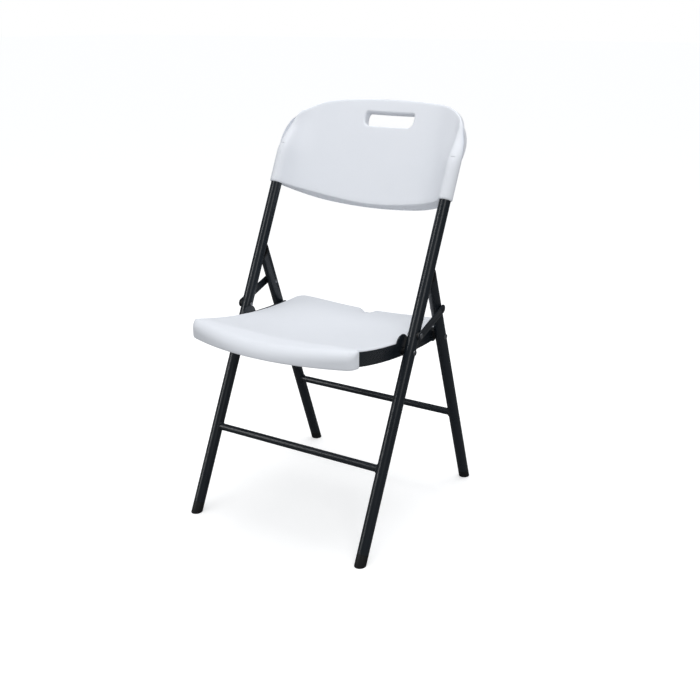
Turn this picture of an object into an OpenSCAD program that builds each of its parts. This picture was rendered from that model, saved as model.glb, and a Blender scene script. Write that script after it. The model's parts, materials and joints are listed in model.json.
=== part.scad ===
// Folding chair: steel tube frame, moulded seat and backrest.
// The chair faces -Y and stands on z = 0, with its box centred on the origin. Left is -X
// and right is +X. It folds flat when the front edge of the seat is lifted.

/* [Frame] */
// Distance between the left and right tube centre lines
track = 438; // [370:1:530]
// Outer diameter of the leg tubes
tube_d = 25; // [20:0.5:30]
// Wall of the leg tubes
tube_wall = 1.2; // [0.8:0.1:2.5]
// Lean of the front tubes from the vertical, towards the back
front_lean = 25.6; // [20:0.1:30]
// Lean of the rear legs from the vertical, towards the front
rear_lean = 20.8; // [16:0.1:26]
// Distance on the floor from the front tube's axis to the rear leg's axis
foot_span = 492; // [440:1:540]
// Length of tube axis between the floor and the front tube's top end
front_tube_top = 872; // [860:1:1050]
// Outer diameter of the braces
brace_d = 16; // [12:0.5:20]
// Wall of the braces
brace_wall = 1; // [0.8:0.1:2]
// Height of the front brace above the floor
front_brace_z = 182; // [120:1:260]
// Height of the rear brace above the floor
rear_brace_z = 193; // [120:1:260]
// Width of a weld bead
weld_w = 3; // [2:0.5:5]
// Visible height of a foot cap, along the tube
foot_h = 24; // [18:1:32]

/* [Folding linkage] */
// Seat pivot, along the front tube from the floor
seat_pivot_s = 453.5; // [430:0.5:480]
// Height of the seat rail's pivot on the rear leg
rail_pivot_z = 405; // [395:0.5:415]
// Height of the link's pivot on the rear leg
link_pivot_z = 476.5; // [460:0.5:490]
// Gap between the front tubes and the rear legs when folded
folded_clearance = 2; // [1:0.5:6]
// Width of a link bar
link_w = 19; // [16:0.5:24]
// Thickness of a link bar
link_t = 3; // [2:0.5:4]
// Diameter of the pivot rivets' shanks
rivet_d = 6; // [5:0.5:8]

/* [Seat] */
// Gap between the sides of the seat's front lip and the planes of the tubes' inner sides
seat_side_gap = 2; // [1.5:0.5:6]
// Front of the seat at its middle, ahead of the front tube's axis at the floor
seat_front = 45; // [30:1:70]
// Rear edge of the seat, behind the front tube's axis at the floor
seat_rear = 397; // [380:1:410]
// Radius of the seat's curve from front to rear
seat_curve_r = 1250; // [1000:10:1600]
// Height of the lowest line of the seat's top surface
seat_low_z = 424; // [415:1:432]
// Place of that lowest line, behind the front tube's axis at the floor
seat_low_y = 325; // [300:1:350]
// Height of the crest behind the front lip
seat_crest_z = 461; // [455:1:470]
// Height of the lower edge of the front lip
seat_lip_z = 424; // [418:1:430]
// Radius of the roll of the front lip
seat_roll_r = 31; // [24:1:36]
// Thickness of the seat pan
pan_t = 22; // [18:0.5:26]
// Wall of the moulded seat and backrest
mould_wall = 2.8; // [2:0.1:4]
// Depth of the hollow across the seat
seat_dish = 7; // [3:0.5:10]
// Depth of the seat rails
rail_h = 30; // [24:0.5:34]
// Height of the lowest line of the rails' top edge
rail_low_z = 423; // [418:0.5:424]
// Thickness of the seat rails
rail_t = 3; // [2:0.5:4]
// Diameter of the cross tubes below the seat
cross_tube_d = 16; // [12:0.5:18]

/* [Backrest] */
// Length of the front tubes inside the backrest
back_overlap = 90; // [80:1:120]
// Top of the backrest at its middle, past the top ends of the front tubes
back_rise = 148; // [130:1:170]
// Drop of the bottom edge at the middle
back_dip = 11; // [0:1:20]
// Distance that the middle of the backrest's front is set back from the tube axes
back_dish = 66; // [40:1:80]
// Thickness of the backrest shell
back_t = 25; // [18:0.5:30]
// Wall of the moulded rim round each tube
rim_wall = 3.5; // [2.5:0.1:6]
// Radius of the backrest's top corners
back_corner_r = 125; // [90:1:150]
// Width of the hand slot
slot_w = 135; // [100:1:160]
// Height of the hand slot
slot_h = 38; // [30:1:46]
// Distance from the top of the slot to the top of the backrest
slot_drop = 32; // [25:1:50]

/* [Hidden] */

$fn = 64;
fine = 720;          // segments of the very large circles
eps = 0.01;
run = 0.05;          // radial running clearance of a pin in its hole
face_gap = 0.2;      // gap between flat faces that slide past each other
LEFT = -1;
RIGHT = 1;

tube_r = tube_d / 2;
tube_bore_r = tube_r - tube_wall;
brace_r = brace_d / 2;
half_track = track / 2;
rivet_r = rivet_d / 2;
hole_r = rivet_r + run;
folded_gap = tube_d + folded_clearance;
seat_lip_w = track - tube_d - 2 * seat_side_gap;
rim_r = tube_r + rim_wall;
back_bottom = front_tube_top - back_overlap;
back_top = front_tube_top + back_rise;
slot_corner_r = 12;
head_r = 6;          // radius of a rivet's formed head
head_h = 1.8;        // height of the low heads that a link swings over
inner_head_h = 2.5;  // height of the heads inside the seat rails
small_head_r = 4.5;  // heads of the links' rivets on the inside of a tube
small_head_h = 1.2;
dome_r = 6;          // radius of the domed heads outside the links
dome_h = 3;
spacer_r = 8;
screw_r = 2;
screw_head_r = 4.5;

// Places in the side view, as [y, z], with y = 0 at the front tube's axis on the floor
function front_pt(s, off = 0) = [s * sin(front_lean) + off * cos(front_lean),
                                 s * cos(front_lean) - off * sin(front_lean)];
function rear_pt(w) = [foot_span - w * sin(rear_lean), w * cos(rear_lean)];
function along_rear(z) = z / cos(rear_lean);
function along_front(z) = z / cos(front_lean);

// The linkage: the rear leg lies parallel to the front tube when folded, and the link is as
// long folded as it is open, which sets where its rivet goes on the front tube
seat_pivot = front_pt(seat_pivot_s);
rail_pivot = rear_pt(along_rear(rail_pivot_z));
link_end = rear_pt(along_rear(link_pivot_z));
leg_step = along_rear(link_pivot_z) - along_rear(rail_pivot_z);
folded_rail_s = seat_pivot_s - sqrt(pow(norm(rail_pivot - seat_pivot), 2) - pow(folded_gap, 2));
folded_link_end = front_pt(folded_rail_s + leg_step, folded_gap);
link_middle = (link_end + folded_link_end) / 2;
link_shift = link_end - folded_link_end;
tube_way = front_pt(1);
link_pivot_s = (link_middle * link_shift) / (tube_way * link_shift);
link_pivot = front_pt(link_pivot_s);

// Sideways stations, from the middle of the chair outwards
tube_in = half_track - tube_r;
tube_out = half_track + tube_r;
lip_step = 5.5;       // the front lip stands this far past the pan's sides
pan_half = seat_lip_w / 2 - lip_step;
rail_in = pan_half + 0.3;
rail_out = rail_in + rail_t;
link_in = tube_out + head_h + 0.4;
link_out = link_in + link_t;

// The seat's curves in the side view
function seat_top(y) = seat_low_z + seat_curve_r - sqrt(pow(seat_curve_r, 2) - pow(y - seat_low_y, 2));
function crest_y() = seat_low_y - sqrt(pow(seat_curve_r, 2) - pow(seat_curve_r + seat_low_z - seat_crest_z, 2));
rail_low_y = 310;     // place of the lowest line of the rails' top edge
rail_start = 13;      // front end of the rails, inside the lip
function rail_top(y) = rail_low_z + seat_curve_r - sqrt(pow(seat_curve_r, 2) - pow(y - rail_low_y, 2));
lip_back = 18;
cross_tube_y = [105, 290];
cross_tube_r = cross_tube_d / 2;
cross_tube_lift = 2;  // from the rails' lower edge to the cross tubes
seat_screw_x = 120;
pivot_recess = 8;

// The backrest's curves, in the plane of the tubes: x across, v back from the tube axes
back_mid_r = 900;
back_side_r = 124;
back_edge_x = half_track - 0.75 * rim_r;
back_mid_x = back_edge_x - 97;  // where the flat middle turns into the tight sides
mid_angle = asin(back_mid_x / back_mid_r);
side_centre = [back_mid_x - back_side_r * sin(mid_angle),
               back_dish - back_mid_r + (back_mid_r - back_side_r) * cos(mid_angle)];
side_angle = asin((back_edge_x - side_centre[0]) / back_side_r);
back_screw_s = [front_tube_top - 62, front_tube_top - 17];
screw_seat = tube_r + 3;  // flats for the screws' heads, behind the tube axes
socket_gap = 0.1;

rear_most = front_pt(back_top, back_dish + back_t)[0];
mid_y = (rear_most - seat_front) / 2;

// ---- placing ----
module placed() translate([0, -mid_y, 0]) children();
module on_front_tube(side) translate([side * half_track, 0, 0]) rotate([-front_lean, 0, 0]) children();
module on_rear_tube(side) translate([side * half_track, foot_span, 0]) rotate([rear_lean, 0, 0]) children();
// a flat outline drawn as (y, z), with thickness from x0 to x1 on one side of the chair
module plate(side, x0, x1) {
    from = side > 0 ? x0 : -x1;
    translate([from, 0, 0]) rotate([90, 0, 90]) linear_extrude(x1 - x0) children();
}
// a round pin along X through the point p = [y, z]
module pin(side, p, x0, x1, r) {
    from = side > 0 ? x0 : -x1;
    translate([from, p[0], p[1]]) rotate([0, 90, 0]) cylinder(r = r, h = x1 - x0);
}
// a low domed head whose flat base is at x0
module dome(side, p, x0, r, h) {
    ball_r = (r * r + h * h) / (2 * h);
    rise = asin((ball_r - h) / ball_r);
    translate([side * x0, p[0], p[1]]) rotate([0, side * 90, 0]) rotate_extrude() polygon(concat(
        [[0, 0], [r, 0]],
        [for (i = [1:6]) let (a = rise + (90 - rise) * i / 6) [ball_r * cos(a), h - ball_r + ball_r * sin(a)]]));
}
// a rivet's low head outside a tube: its back follows the tube, and its face is domed
module low_head(side, p) {
    difference() {
        pin(side, p, tube_out - 2, tube_out + 0.6, head_r);
        children();
    }
    dome(side, p, tube_out + 0.6 - eps, head_r, head_h - 0.6);
}
module front_bar(side, r) on_front_tube(side) translate([0, 0, -40]) cylinder(r = r, h = front_tube_top + 80);
module rear_bar(side, r) on_rear_tube(side) translate([0, 0, -40]) cylinder(r = r, h = foot_span + 300);
module below_floor() translate([-500, -500, -200]) cube([1000, 1500, 200]);

// ---- legs ----
module front_tube(side) color("#23292f") placed() difference() {
    on_front_tube(side) difference() {
        translate([0, 0, foot_h]) cylinder(r = tube_r, h = front_tube_top - foot_h);
        translate([0, 0, foot_h - 1]) cylinder(r = tube_bore_r, h = front_tube_top - foot_h + 2);
    }
    for (p = [seat_pivot, link_pivot]) pin(side, p, tube_in - 5, tube_out + 5, hole_r);
    for (s = back_screw_s)
        on_front_tube(side) translate([0, 0, s]) rotate([-90, 0, 0]) cylinder(r = screw_r + run, h = tube_r + 5);
}
module left_front_tube() front_tube(LEFT);
module right_front_tube() front_tube(RIGHT);

// the rear leg's top is cut parallel to the front tube, where its stop cap rests
cap_t = 3;
stop_gap = 0.3;
module behind_front_tube(side, off) on_front_tube(side) translate([-60, off, -100]) cube([120, 900, 1300]);
module rear_tube(side) color("#23292f") placed() difference() {
    intersection() {
        on_rear_tube(side) difference() {
            translate([0, 0, foot_h]) cylinder(r = tube_r, h = foot_span + 200);
            translate([0, 0, foot_h - 1]) cylinder(r = tube_bore_r, h = foot_span + 202);
        }
        behind_front_tube(side, tube_r + stop_gap + cap_t);
    }
    for (p = [rail_pivot, link_end]) pin(side, p, tube_in - 5, tube_out + 5, hole_r);
}
module left_rear_tube() rear_tube(LEFT);
module right_rear_tube() rear_tube(RIGHT);

module stop_cap(side) color("#17191c") placed() intersection() {
    union() {
        difference() {
            on_rear_tube(side) cylinder(r = tube_r, h = foot_span + 300);
            behind_front_tube(side, tube_r + stop_gap + cap_t);
        }
        intersection() {
            on_rear_tube(side) cylinder(r = tube_bore_r - run, h = foot_span + 300);
            difference() {
                behind_front_tube(side, tube_r + stop_gap + cap_t - eps);
                behind_front_tube(side, tube_r + stop_gap + cap_t + 12);
            }
        }
    }
    behind_front_tube(side, tube_r + stop_gap);
}
module left_stop_cap() stop_cap(LEFT);
module right_stop_cap() stop_cap(RIGHT);

// a foot cap: a plug in the tube and a collar as wide as the tube, cut level with the floor
module foot_plug() {
    translate([0, 0, -20]) cylinder(r = tube_r, h = foot_h + 20);
    translate([0, 0, foot_h - eps]) cylinder(r = tube_bore_r - run, h = 18);
}
module front_foot(side) color("#17191c") placed() difference() {
    on_front_tube(side) foot_plug();
    below_floor();
}
module rear_foot(side) color("#17191c") placed() difference() {
    on_rear_tube(side) foot_plug();
    below_floor();
}
module left_front_foot() front_foot(LEFT);
module right_front_foot() front_foot(RIGHT);
module left_rear_foot() rear_foot(LEFT);
module right_rear_foot() rear_foot(RIGHT);

// ---- braces ----
front_brace_p = front_pt(along_front(front_brace_z));
rear_brace_p = rear_pt(along_rear(rear_brace_z));
module brace_bar(p, r, half) translate([-half, p[0], p[1]]) rotate([0, 90, 0]) cylinder(r = r, h = 2 * half);
module weld_cone(side, p, r) {
    reach = tube_in + tube_r - sqrt(pow(tube_r, 2) - pow(r, 2));
    translate([side * (reach + eps), p[0], p[1]]) rotate([0, -side * 90, 0])
        cylinder(r1 = r + weld_w, r2 = r + 0.3, h = weld_w + 1);
}
module front_brace() color("#23292f") placed() difference() {
    brace_bar(front_brace_p, brace_r, half_track);
    brace_bar(front_brace_p, brace_r - brace_wall, half_track + 1);
    for (side = [LEFT, RIGHT]) front_bar(side, tube_r);
}
module front_brace_welds() color("#23292f") placed() for (side = [LEFT, RIGHT]) difference() {
    weld_cone(side, front_brace_p, brace_r);
    brace_bar(front_brace_p, brace_r, half_track);
    front_bar(side, tube_r);
}
module rear_brace() color("#23292f") placed() difference() {
    brace_bar(rear_brace_p, brace_r, half_track);
    brace_bar(rear_brace_p, brace_r - brace_wall, half_track + 1);
    for (side = [LEFT, RIGHT]) rear_bar(side, tube_r);
}
module rear_brace_welds() color("#23292f") placed() for (side = [LEFT, RIGHT]) difference() {
    weld_cone(side, rear_brace_p, brace_r);
    brace_bar(rear_brace_p, brace_r, half_track);
    rear_bar(side, tube_r);
}

// ---- pivots ----
// the seat rail turns on a rivet through the front tube, and the rear leg has a like one
module rail_rivet(side, p) {
    pin(side, p, rail_in - face_gap - eps, tube_out + 0.5, rivet_r);
    pin(side, p, rail_in - face_gap - inner_head_h, rail_in - face_gap, head_r - 0.5);
}
module seat_pivot_rivets() color("#8a8d90") placed() for (side = [LEFT, RIGHT]) {
    rail_rivet(side, seat_pivot);
    low_head(side, seat_pivot) front_bar(side, tube_r);
}
module seat_pivot_spacers() color("#3a3d40") placed() for (side = [LEFT, RIGHT]) difference() {
    pin(side, seat_pivot, rail_out + face_gap, tube_in + 3, spacer_r);
    pin(side, seat_pivot, rail_out, tube_in + 4, hole_r);
    front_bar(side, tube_r);
}
module rail_pivot_rivets() color("#8a8d90") placed() for (side = [LEFT, RIGHT]) {
    rail_rivet(side, rail_pivot);
    low_head(side, rail_pivot) rear_bar(side, tube_r);
}
module rail_pivot_spacers() color("#3a3d40") placed() for (side = [LEFT, RIGHT]) difference() {
    pin(side, rail_pivot, rail_out + face_gap, tube_in + 3, spacer_r);
    pin(side, rail_pivot, rail_out, tube_in + 4, hole_r);
    rear_bar(side, tube_r);
}
module link_pivot_rivets() color("#8a8d90") placed() for (side = [LEFT, RIGHT]) {
    pin(side, link_pivot, tube_in - 0.5, link_out + face_gap + 0.5, rivet_r);
    dome(side, link_pivot, link_out + face_gap, dome_r, dome_h);
    difference() {
        pin(side, link_pivot, tube_in - small_head_h, tube_in + 2, small_head_r);
        front_bar(side, tube_r);
    }
}
module link_pivot_washers() color("#3a3d40") placed() for (side = [LEFT, RIGHT]) difference() {
    pin(side, link_pivot, tube_out - 3, link_in - face_gap, spacer_r);
    pin(side, link_pivot, tube_out - 4, link_in, hole_r);
    front_bar(side, tube_r);
}
// the rear leg's half of the link's rear pivot
module link_end_rivets() color("#8a8d90") placed() for (side = [LEFT, RIGHT]) {
    pin(side, link_end, tube_in - 0.5, tube_out - tube_wall, rivet_r);
    difference() {
        pin(side, link_end, tube_in - small_head_h, tube_in + 2, small_head_r);
        rear_bar(side, tube_r);
    }
}
// the link's half of that pivot, which stops short of the rear leg
module link_stud(side) color("#17191c") placed() {
    difference() {
        pin(side, link_end, tube_out + 0.4, link_in, spacer_r);
        rear_bar(side, tube_r);
    }
    pin(side, link_end, link_in - eps, link_out + eps, rivet_r);
    dome(side, link_end, link_out, dome_r, dome_h);
}
module left_link_stud() link_stud(LEFT);
module right_link_stud() link_stud(RIGHT);

module bar_outline(a, b, w) {
    way = b - a;
    translate(a) circle(d = w);
    translate(b) circle(d = w);
    translate(a) rotate(atan2(way[1], way[0])) translate([0, -w / 2]) square([norm(way), w]);
}
module link(side) color("#23292f") placed() difference() {
    plate(side, link_in, link_out) bar_outline(link_pivot, link_end, link_w);
    pin(side, link_pivot, link_in - 1, link_out + 1, hole_r);
    pin(side, link_end, link_in - 1, link_out + 1, rivet_r);
}
module left_link() link(LEFT);
module right_link() link(RIGHT);

// ---- seat rails and cross tubes ----
ear_r = 22;
ear_half = 2;
ear_lift = 14;
ear_y = seat_pivot[0] - 2;
module rail_outline() {
    // the band follows the seat's curve from inside the front lip to the rear leg
    intersection() {
        translate([rail_low_y, rail_low_z + seat_curve_r]) difference() {
            circle(r = seat_curve_r + rail_h, $fn = fine);
            circle(r = seat_curve_r, $fn = fine);
        }
        translate([rail_start, 0]) square([rail_pivot[0] - rail_start, rail_low_z + 100]);
    }
    translate(rail_pivot) circle(d = rail_h);
    // the ear over the seat pivot
    for (dy = [-ear_half, ear_half]) translate([ear_y + dy, seat_pivot[1] + ear_lift]) circle(r = ear_r);
    translate([ear_y - ear_half, seat_pivot[1]]) square([2 * ear_half, ear_lift + ear_r]);
}
module seat_rail(side) color("#23292f") placed() difference() {
    plate(side, rail_in, rail_out) rail_outline();
    for (p = [seat_pivot, rail_pivot]) pin(side, p, rail_in - 1, rail_out + 1, hole_r);
}
module left_seat_rail() seat_rail(LEFT);
module right_seat_rail() seat_rail(RIGHT);

function cross_p(y) = [y, rail_top(y) - rail_h + cross_tube_lift + cross_tube_r];
module cross_tube(y) color("#23292f") placed() difference() {
    brace_bar(cross_p(y), cross_tube_r, rail_in);
    brace_bar(cross_p(y), cross_tube_r - brace_wall, rail_in + 1);
    for (side = [LEFT, RIGHT]) translate([side * seat_screw_x, y, cross_p(y)[1] - 20])
        cylinder(r = screw_r + run, h = 40);
}
module front_cross_tube() cross_tube(cross_tube_y[0]);
module rear_cross_tube() cross_tube(cross_tube_y[1]);
module cross_tube_welds() color("#23292f") placed() for (side = [LEFT, RIGHT], y = cross_tube_y) {
    p = cross_p(y);
    // a bead on the lower half, clear of the pan
    difference() {
        translate([side * (rail_in), p[0], p[1]]) rotate([0, -side * 90, 0])
            cylinder(r1 = cross_tube_r + weld_w, r2 = cross_tube_r, h = weld_w);
        brace_bar(p, cross_tube_r, half_track);
        translate([-half_track, y - 30, p[1] - cross_tube_r / 2]) cube([track, 60, 60]);
    }
}
module seat_screws() color("#8a8d90") placed() for (side = [LEFT, RIGHT], y = cross_tube_y) {
    x = side * seat_screw_x;
    under = cross_p(y)[1] - cross_tube_r;
    translate([x, y, under - 1]) cylinder(r = screw_r, h = 1 + cross_tube_d + seat_screw_rise);
    translate([x, y, under - 2]) cylinder(r = screw_head_r, h = 2);
}

// ---- seat pan ----
function arc_pts(c, r, a0, a1, n) = [for (i = [0:n]) c + r * [cos(a0 + (a1 - a0) * i / n), sin(a0 + (a1 - a0) * i / n)]];
function seat_line(drop, y0, y1, n) = [for (i = [0:n]) let (y = y0 + (y1 - y0) * i / n) [y, seat_top(y) - drop]];
// side outline of the pan as (y, z), all round inset by g
module pan_profile(g) {
    crest = crest_y();
    roll = [-seat_front + seat_roll_r, seat_crest_z - seat_roll_r];
    polygon(concat(
        seat_line(g, seat_rear - g, crest, 24),
        arc_pts(roll, seat_roll_r - g, 90, 180, 10),
        [[-seat_front + g, seat_lip_z + 4], [-seat_front + 4 + g / 2, seat_lip_z + g],
         [lip_back - g, seat_lip_z + g], [lip_back - g, seat_top(lip_back) - pan_t + g]],
        seat_line(pan_t - g, lip_back, seat_rear - g, 24)));
}
lip_corner_r = 22;
lip_flat = 5.7;       // straight length of the lip's sides
lip_deep = seat_front + lip_back - lip_flat;
lip_corner_x = seat_lip_w / 2 - lip_corner_r;
lip_arc_r = (pow(lip_corner_x, 2) + pow(lip_deep, 2) - pow(lip_corner_r, 2)) / (2 * (lip_deep - lip_corner_r));
// plan outline of the front part as (x, y)
module lip_plan(half, g) {
    corner_y = lip_arc_r - seat_front - sqrt(pow(lip_arc_r - lip_corner_r, 2) - pow(half - lip_corner_r, 2));
    turn = asin((half - lip_corner_r) / (lip_arc_r - lip_corner_r));
    translate([0, g]) polygon(concat(
        arc_pts([0, lip_arc_r - seat_front], lip_arc_r, 270 - turn, 270 + turn, 20),
        arc_pts([half - lip_corner_r, corner_y], lip_corner_r, 270 + turn, 360, 8),
        [[half, lip_back - g], [-half, lip_back - g]],
        arc_pts([lip_corner_r - half, corner_y], lip_corner_r, 180, 270 - turn, 8)));
}
rear_corner_r = 25;
module pan_plan(half, g) {
    rear = seat_rear - g;
    polygon(concat(
        [[-half, 0], [half, 0]],
        arc_pts([half - rear_corner_r, rear - rear_corner_r], rear_corner_r, 0, 90, 8),
        arc_pts([rear_corner_r - half, rear - rear_corner_r], rear_corner_r, 90, 180, 8)));
}
// pockets under the pan's edges for the rivets' inner heads
pivot_room = 4;
module pivot_recesses(g) for (side = [LEFT, RIGHT], p = [seat_pivot, rail_pivot]) {
    half = head_r + pivot_room + g;
    top = p[1] + head_r + pivot_room / 2 + g;
    translate([side * (pan_half - pivot_recess - g + 20), p[0], top - 50])
        cube([40, 2 * half, 100], center = true);
}
module pan_block(half, g) intersection() {
    translate([-half - 20, 0, 0]) rotate([90, 0, 90]) linear_extrude(2 * half + 40) pan_profile(g);
    translate([0, 0, 350]) linear_extrude(150) {
        pan_plan(half, g);
        lip_plan(g == 0 ? seat_lip_w / 2 : half, g);
    }
}
notch_r = 36;
notch_depth = seat_dish + 10;
notch_run = 60;
module rear_notch(g) translate([0, seat_rear + 5, seat_top(seat_rear) + notch_r - notch_depth - g])
    rotate([90 - atan(notch_depth / notch_run), 0, 0]) cylinder(r = notch_r, h = notch_run + 25);
// the rails' front ends sit in pockets in the back of the lip
pocket_gap = 1;
module rail_pocket() for (side = [LEFT, RIGHT])
    plate(side, pan_half - eps, rail_out + 0.3) translate([rail_start - pocket_gap, seat_lip_z + 1.5])
        square([lip_back + 2 * pocket_gap - rail_start, rail_top(rail_start) + pocket_gap - seat_lip_z - 1.5]);
// the hollow across the seat: a barrel about the axis of the seat's curve, g below the surface
dish_half = pan_half - 11;
dish_over = 9;        // how far the barrel runs on above the seat's sides
dish_arc_r = (dish_half * dish_half + seat_dish * seat_dish) / (2 * seat_dish);
dish_angle = asin((dish_half + dish_over) / dish_arc_r);
module dish(g) translate([0, seat_low_y, seat_low_z + seat_curve_r]) rotate([0, 90, 0])
    rotate_extrude($fn = fine) polygon(concat(
        [[seat_curve_r - 60, dish_half + dish_over], [seat_curve_r - 60, -dish_half - dish_over]],
        arc_pts([seat_curve_r + seat_dish + g - dish_arc_r, 0], dish_arc_r, -dish_angle, dish_angle, 12)));
module grooves(g) for (y = cross_tube_y) brace_bar(cross_p(y), cross_tube_r + 0.3 + g, half_track);
seat_screw_rise = 5;  // how far the screws go into the pan above the cross tubes
module screw_spots(r, rise) for (side = [LEFT, RIGHT], y = cross_tube_y)
    translate([side * seat_screw_x, y, cross_p(y)[1]]) cylinder(r = r, h = cross_tube_r + rise);
module seat_pan() color("#e4e8ef") placed() difference() {
    pan_block(pan_half, 0);
    pivot_recesses(0);
    rear_notch(0);
    grooves(0);
    rail_pocket();
    dish(0);
    screw_spots(screw_r + run, seat_screw_rise + 1);
    difference() {
        pan_block(pan_half - mould_wall, mould_wall);
        pivot_recesses(mould_wall);
        rear_notch(mould_wall);
        grooves(mould_wall);
        screw_spots(6, 12);
        dish(mould_wall);
    }
    // blow hole under the pan
    translate([0, (cross_tube_y[0] + cross_tube_y[1]) / 2, 395]) cylinder(r = 3, h = 15 + mould_wall);
}

// ---- backrest ----
// the shell's curve across the chair, g behind the front surface, as (x, v)
function back_curve(g) = concat(
    [for (i = [0:14]) let (a = -side_angle + (side_angle - mid_angle) * i / 14)
        [-side_centre[0], side_centre[1]] + (back_side_r + g) * [sin(a), cos(a)]],
    [for (i = [1:13]) let (a = -mid_angle + 2 * mid_angle * i / 14)
        [0, back_dish - back_mid_r] + (back_mid_r + g) * [sin(a), cos(a)]],
    [for (i = [0:14]) let (a = mid_angle + (side_angle - mid_angle) * i / 14)
        side_centre + (back_side_r + g) * [sin(a), cos(a)]]);
function reversed(v) = [for (i = [len(v) - 1:-1:0]) v[i]];
module back_shell_plan(g) polygon(concat(back_curve(g), reversed(back_curve(back_t - g))));
// the outline in the plane of the tubes, as (x, s)
dip_half = 135;
function bottom_edge(x) = back_bottom - (abs(x) < dip_half ? back_dip * (1 + cos(180 * x / dip_half)) / 2 : 0);
back_half = half_track + rim_r;
module back_outline(g) {
    half = back_half - g;
    top_centre = [0, back_top - back_mid_r];
    corner_r = back_corner_r - g;
    corner_x = back_half - back_corner_r;
    corner = [corner_x, top_centre[1] + sqrt(pow(back_mid_r - back_corner_r, 2) - pow(corner_x, 2))];
    turn = asin(corner_x / (back_mid_r - back_corner_r));
    polygon(concat(
        [for (i = [0:20]) let (x = -half + 2 * half * i / 20) [x, bottom_edge(x) + g]],
        arc_pts(corner, corner_r, 0, 90 - turn, 14),
        arc_pts(top_centre, back_mid_r - g, 90 - turn, 90 + turn, 16),
        arc_pts([-corner[0], corner[1]], corner_r, 90 + turn, 180, 14)));
}
module back_frame() rotate([-front_lean, 0, 0]) children();
module back_slab(g, v0, v1) translate([0, v1, 0]) rotate([90, 0, 0]) linear_extrude(v1 - v0) back_outline(g);
module slot_outline(g) {
    r = slot_corner_r + g;
    w = slot_w / 2 + g - r;
    h = slot_h / 2 + g - r;
    for (x = [-w, w], y = [-h, h]) translate([x, y]) circle(r = r);
    square([2 * w, 2 * (h + r)], center = true);
    square([2 * (w + r), 2 * h], center = true);
}
module slot_cut(g) translate([0, back_dish + back_t + 20, back_top - slot_drop - slot_h / 2])
    rotate([90, 0, 0]) linear_extrude(back_t + 50) slot_outline(g);
module backrest_panel() color("#e4e8ef") placed() back_frame() difference() {
    intersection() {
        translate([0, 0, back_bottom - 40]) linear_extrude(back_top - back_bottom + 60) {
            back_shell_plan(0);
            for (side = [LEFT, RIGHT]) translate([side * half_track, 0]) circle(r = rim_r);
        }
        back_slab(0, -rim_r - 5, back_dish + back_t + 5);
    }
    // the hollow between the front and back walls, closed round the slot and along the rims
    difference() {
        intersection() {
            translate([0, 0, back_bottom - 40]) linear_extrude(back_top - back_bottom + 60) back_shell_plan(mould_wall);
            back_slab(mould_wall, -rim_r - 5, back_dish + back_t + 5);
        }
        slot_cut(mould_wall);
        for (side = [LEFT, RIGHT]) translate([side * half_track, 0, back_bottom - 50]) cylinder(r = rim_r + 2, h = 400);
    }
    slot_cut(0);
    for (side = [LEFT, RIGHT]) {
        translate([side * half_track, 0, back_bottom - 50])
            cylinder(r = tube_r + socket_gap, h = front_tube_top + 1 - back_bottom + 50);
        for (s = back_screw_s) translate([side * half_track, 0, s]) rotate([-90, 0, 0]) {
            cylinder(r = screw_r + run, h = rim_r + 5);
            translate([0, 0, screw_seat]) cylinder(r = screw_head_r + 0.3, h = back_t);
        }
    }
    // blow hole in the bottom edge
    translate([0, back_dish + back_t / 2, bottom_edge(0) - 5]) cylinder(r = 3, h = 5 + 2 * mould_wall);
}
module backrest_screws() color("#8a8d90") placed() for (side = [LEFT, RIGHT], s = back_screw_s)
    on_front_tube(side) translate([0, 0, s]) rotate([-90, 0, 0]) {
        translate([0, 0, tube_bore_r - 3]) cylinder(r = screw_r, h = screw_seat - tube_bore_r + 4);
        translate([0, 0, screw_seat]) cylinder(r = screw_head_r, h = 2);
    }

left_front_tube();
right_front_tube();
front_brace();
front_brace_welds();
left_front_foot();
right_front_foot();
backrest_panel();
backrest_screws();
seat_pivot_rivets();
seat_pivot_spacers();
link_pivot_rivets();
link_pivot_washers();
seat_pan();
left_seat_rail();
right_seat_rail();
front_cross_tube();
rear_cross_tube();
cross_tube_welds();
seat_screws();
left_rear_tube();
right_rear_tube();
rear_brace();
rear_brace_welds();
left_rear_foot();
right_rear_foot();
left_stop_cap();
right_stop_cap();
rail_pivot_rivets();
rail_pivot_spacers();
link_end_rivets();
left_link();
right_link();
left_link_stud();
right_link_stud();
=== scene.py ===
import json
import math

import bmesh
import bpy
import numpy as np
from mathutils import Matrix, Vector


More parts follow.
